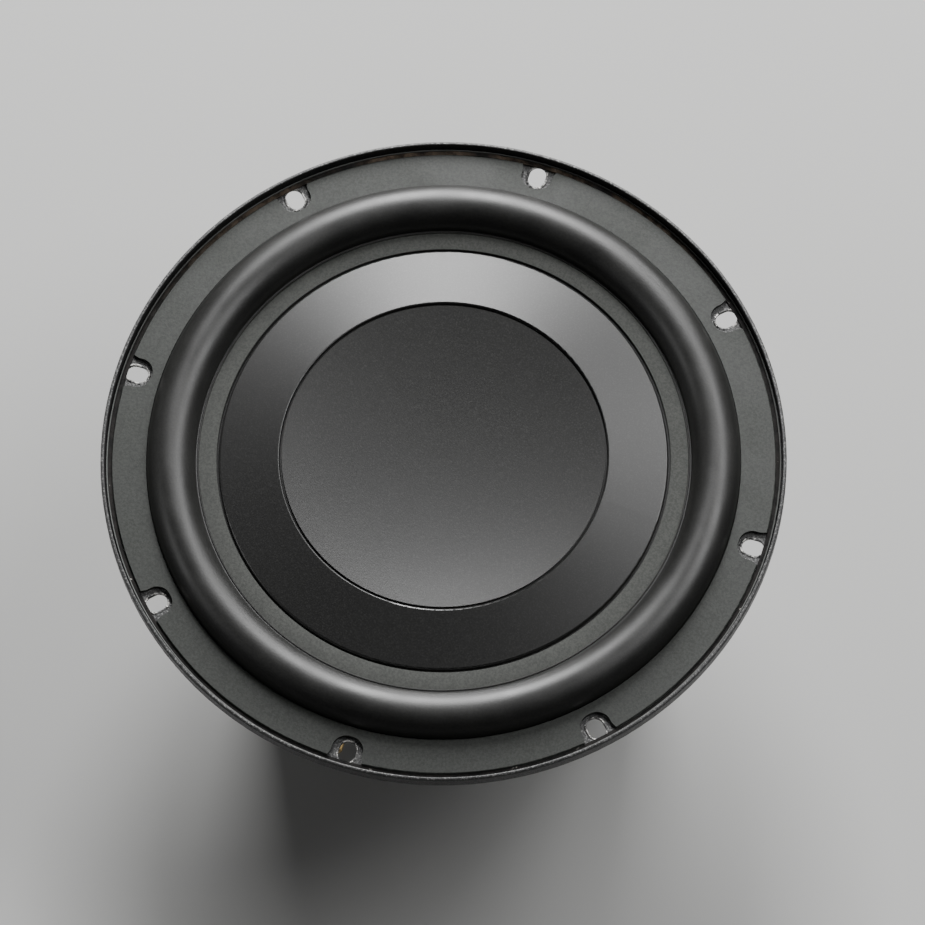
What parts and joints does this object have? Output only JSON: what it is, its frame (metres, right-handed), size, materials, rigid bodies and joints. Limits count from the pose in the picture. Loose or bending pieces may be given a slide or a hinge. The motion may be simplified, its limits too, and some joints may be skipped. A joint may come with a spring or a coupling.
{
  "type": "subwoofer driver",
  "caption": "Round loudspeaker driver with a pressed basket, rubber half-roll, ringed cone with concave dish, ferrite motor and sprung push terminals.",
  "frame": {"origin": "centre of the flange's rear face, on the cone's axis", "axes": "+Z out of the front along the cone's axis; +Y through a screw slot; -Y through the terminals"},
  "size_m": [0.266, 0.266, 0.1359],
  "materials": {
    "powder_coated_steel": "fine-textured black powder coat",
    "gasket_rubber": "matte, moulded",
    "surround_rubber": "satin, moulded",
    "spider_cloth": "resin-dipped woven cloth",
    "satin_cone": "fine satin",
    "satin_dish": "fine-grained satin",
    "cone_paper": "pressed pulp",
    "former_foil": "dull",
    "coil_copper": "enamelled round wire",
    "plated_steel": "black zinc plating",
    "ferrite": "ground, unpainted",
    "shorting_aluminium": "turned",
    "screen_steel": "black punched sheet",
    "rivet_steel": "zinc plated",
    "terminal_plastic": "moulded",
    "terminal_gold": "gold plated, polished",
    "button_red": "moulded",
    "button_black": "moulded",
    "spring_steel": "spring wire",
    "tinned_brass": "tinned",
    "tinsel_braid": "braided copper"
  },
  "bodies": {
    "frame": {"basket": "powder_coated_steel", "gasket_ring": "gasket_rubber", "surround": "surround_rubber", "spider": "spider_cloth", "top_plate": "plated_steel", "magnet_upper": "ferrite", "magnet_lower": "ferrite", "yoke": "plated_steel", "shorting_ring": "shorting_aluminium", "vent_screen": "screen_steel", "frame_rivets": "rivet_steel", "terminal_block": "terminal_plastic", "terminal_rivets": "rivet_steel", "terminal_post_positive": "terminal_gold", "button_spring_positive": "spring_steel", "solder_lug_positive": "tinned_brass", "tinsel_lead_positive": "tinsel_braid", "terminal_post_negative": "terminal_gold", "button_spring_negative": "spring_steel", "solder_lug_negative": "tinned_brass", "tinsel_lead_negative": "tinsel_braid"},
    "diaphragm": {"cone_ring": "satin_cone", "dust_cap": "satin_dish", "cone_body": "cone_paper", "coil_former": "former_foil", "voice_coil": "coil_copper", "lead_eyelets": "tinned_brass"},
    "positive_button": {"push_button_positive": "button_red"},
    "negative_button": {"push_button_negative": "button_black"}
  },
  "joints": [
    {"name": "cone_travel", "type": "slide", "parent": "frame", "child": "diaphragm", "axis": [0, 0, 1], "range_m": [-0.012, 0.012], "stiffness_N_per_m": 4600, "deforming": ["surround", "spider", "tinsel_lead_positive", "tinsel_lead_negative"]},
    {"name": "positive_button_press", "type": "slide", "parent": "frame", "child": "positive_button", "axis": [0, 1, 0], "range_m": [0, 0.0032], "stiffness_N_per_m": 900, "springref_m": -0.001, "deforming": ["button_spring_positive"]},
    {"name": "negative_button_press", "type": "slide", "parent": "frame", "child": "negative_button", "axis": [0, 1, 0], "range_m": [0, 0.0032], "stiffness_N_per_m": 900, "springref_m": -0.001, "deforming": ["button_spring_negative"]}
  ]
}
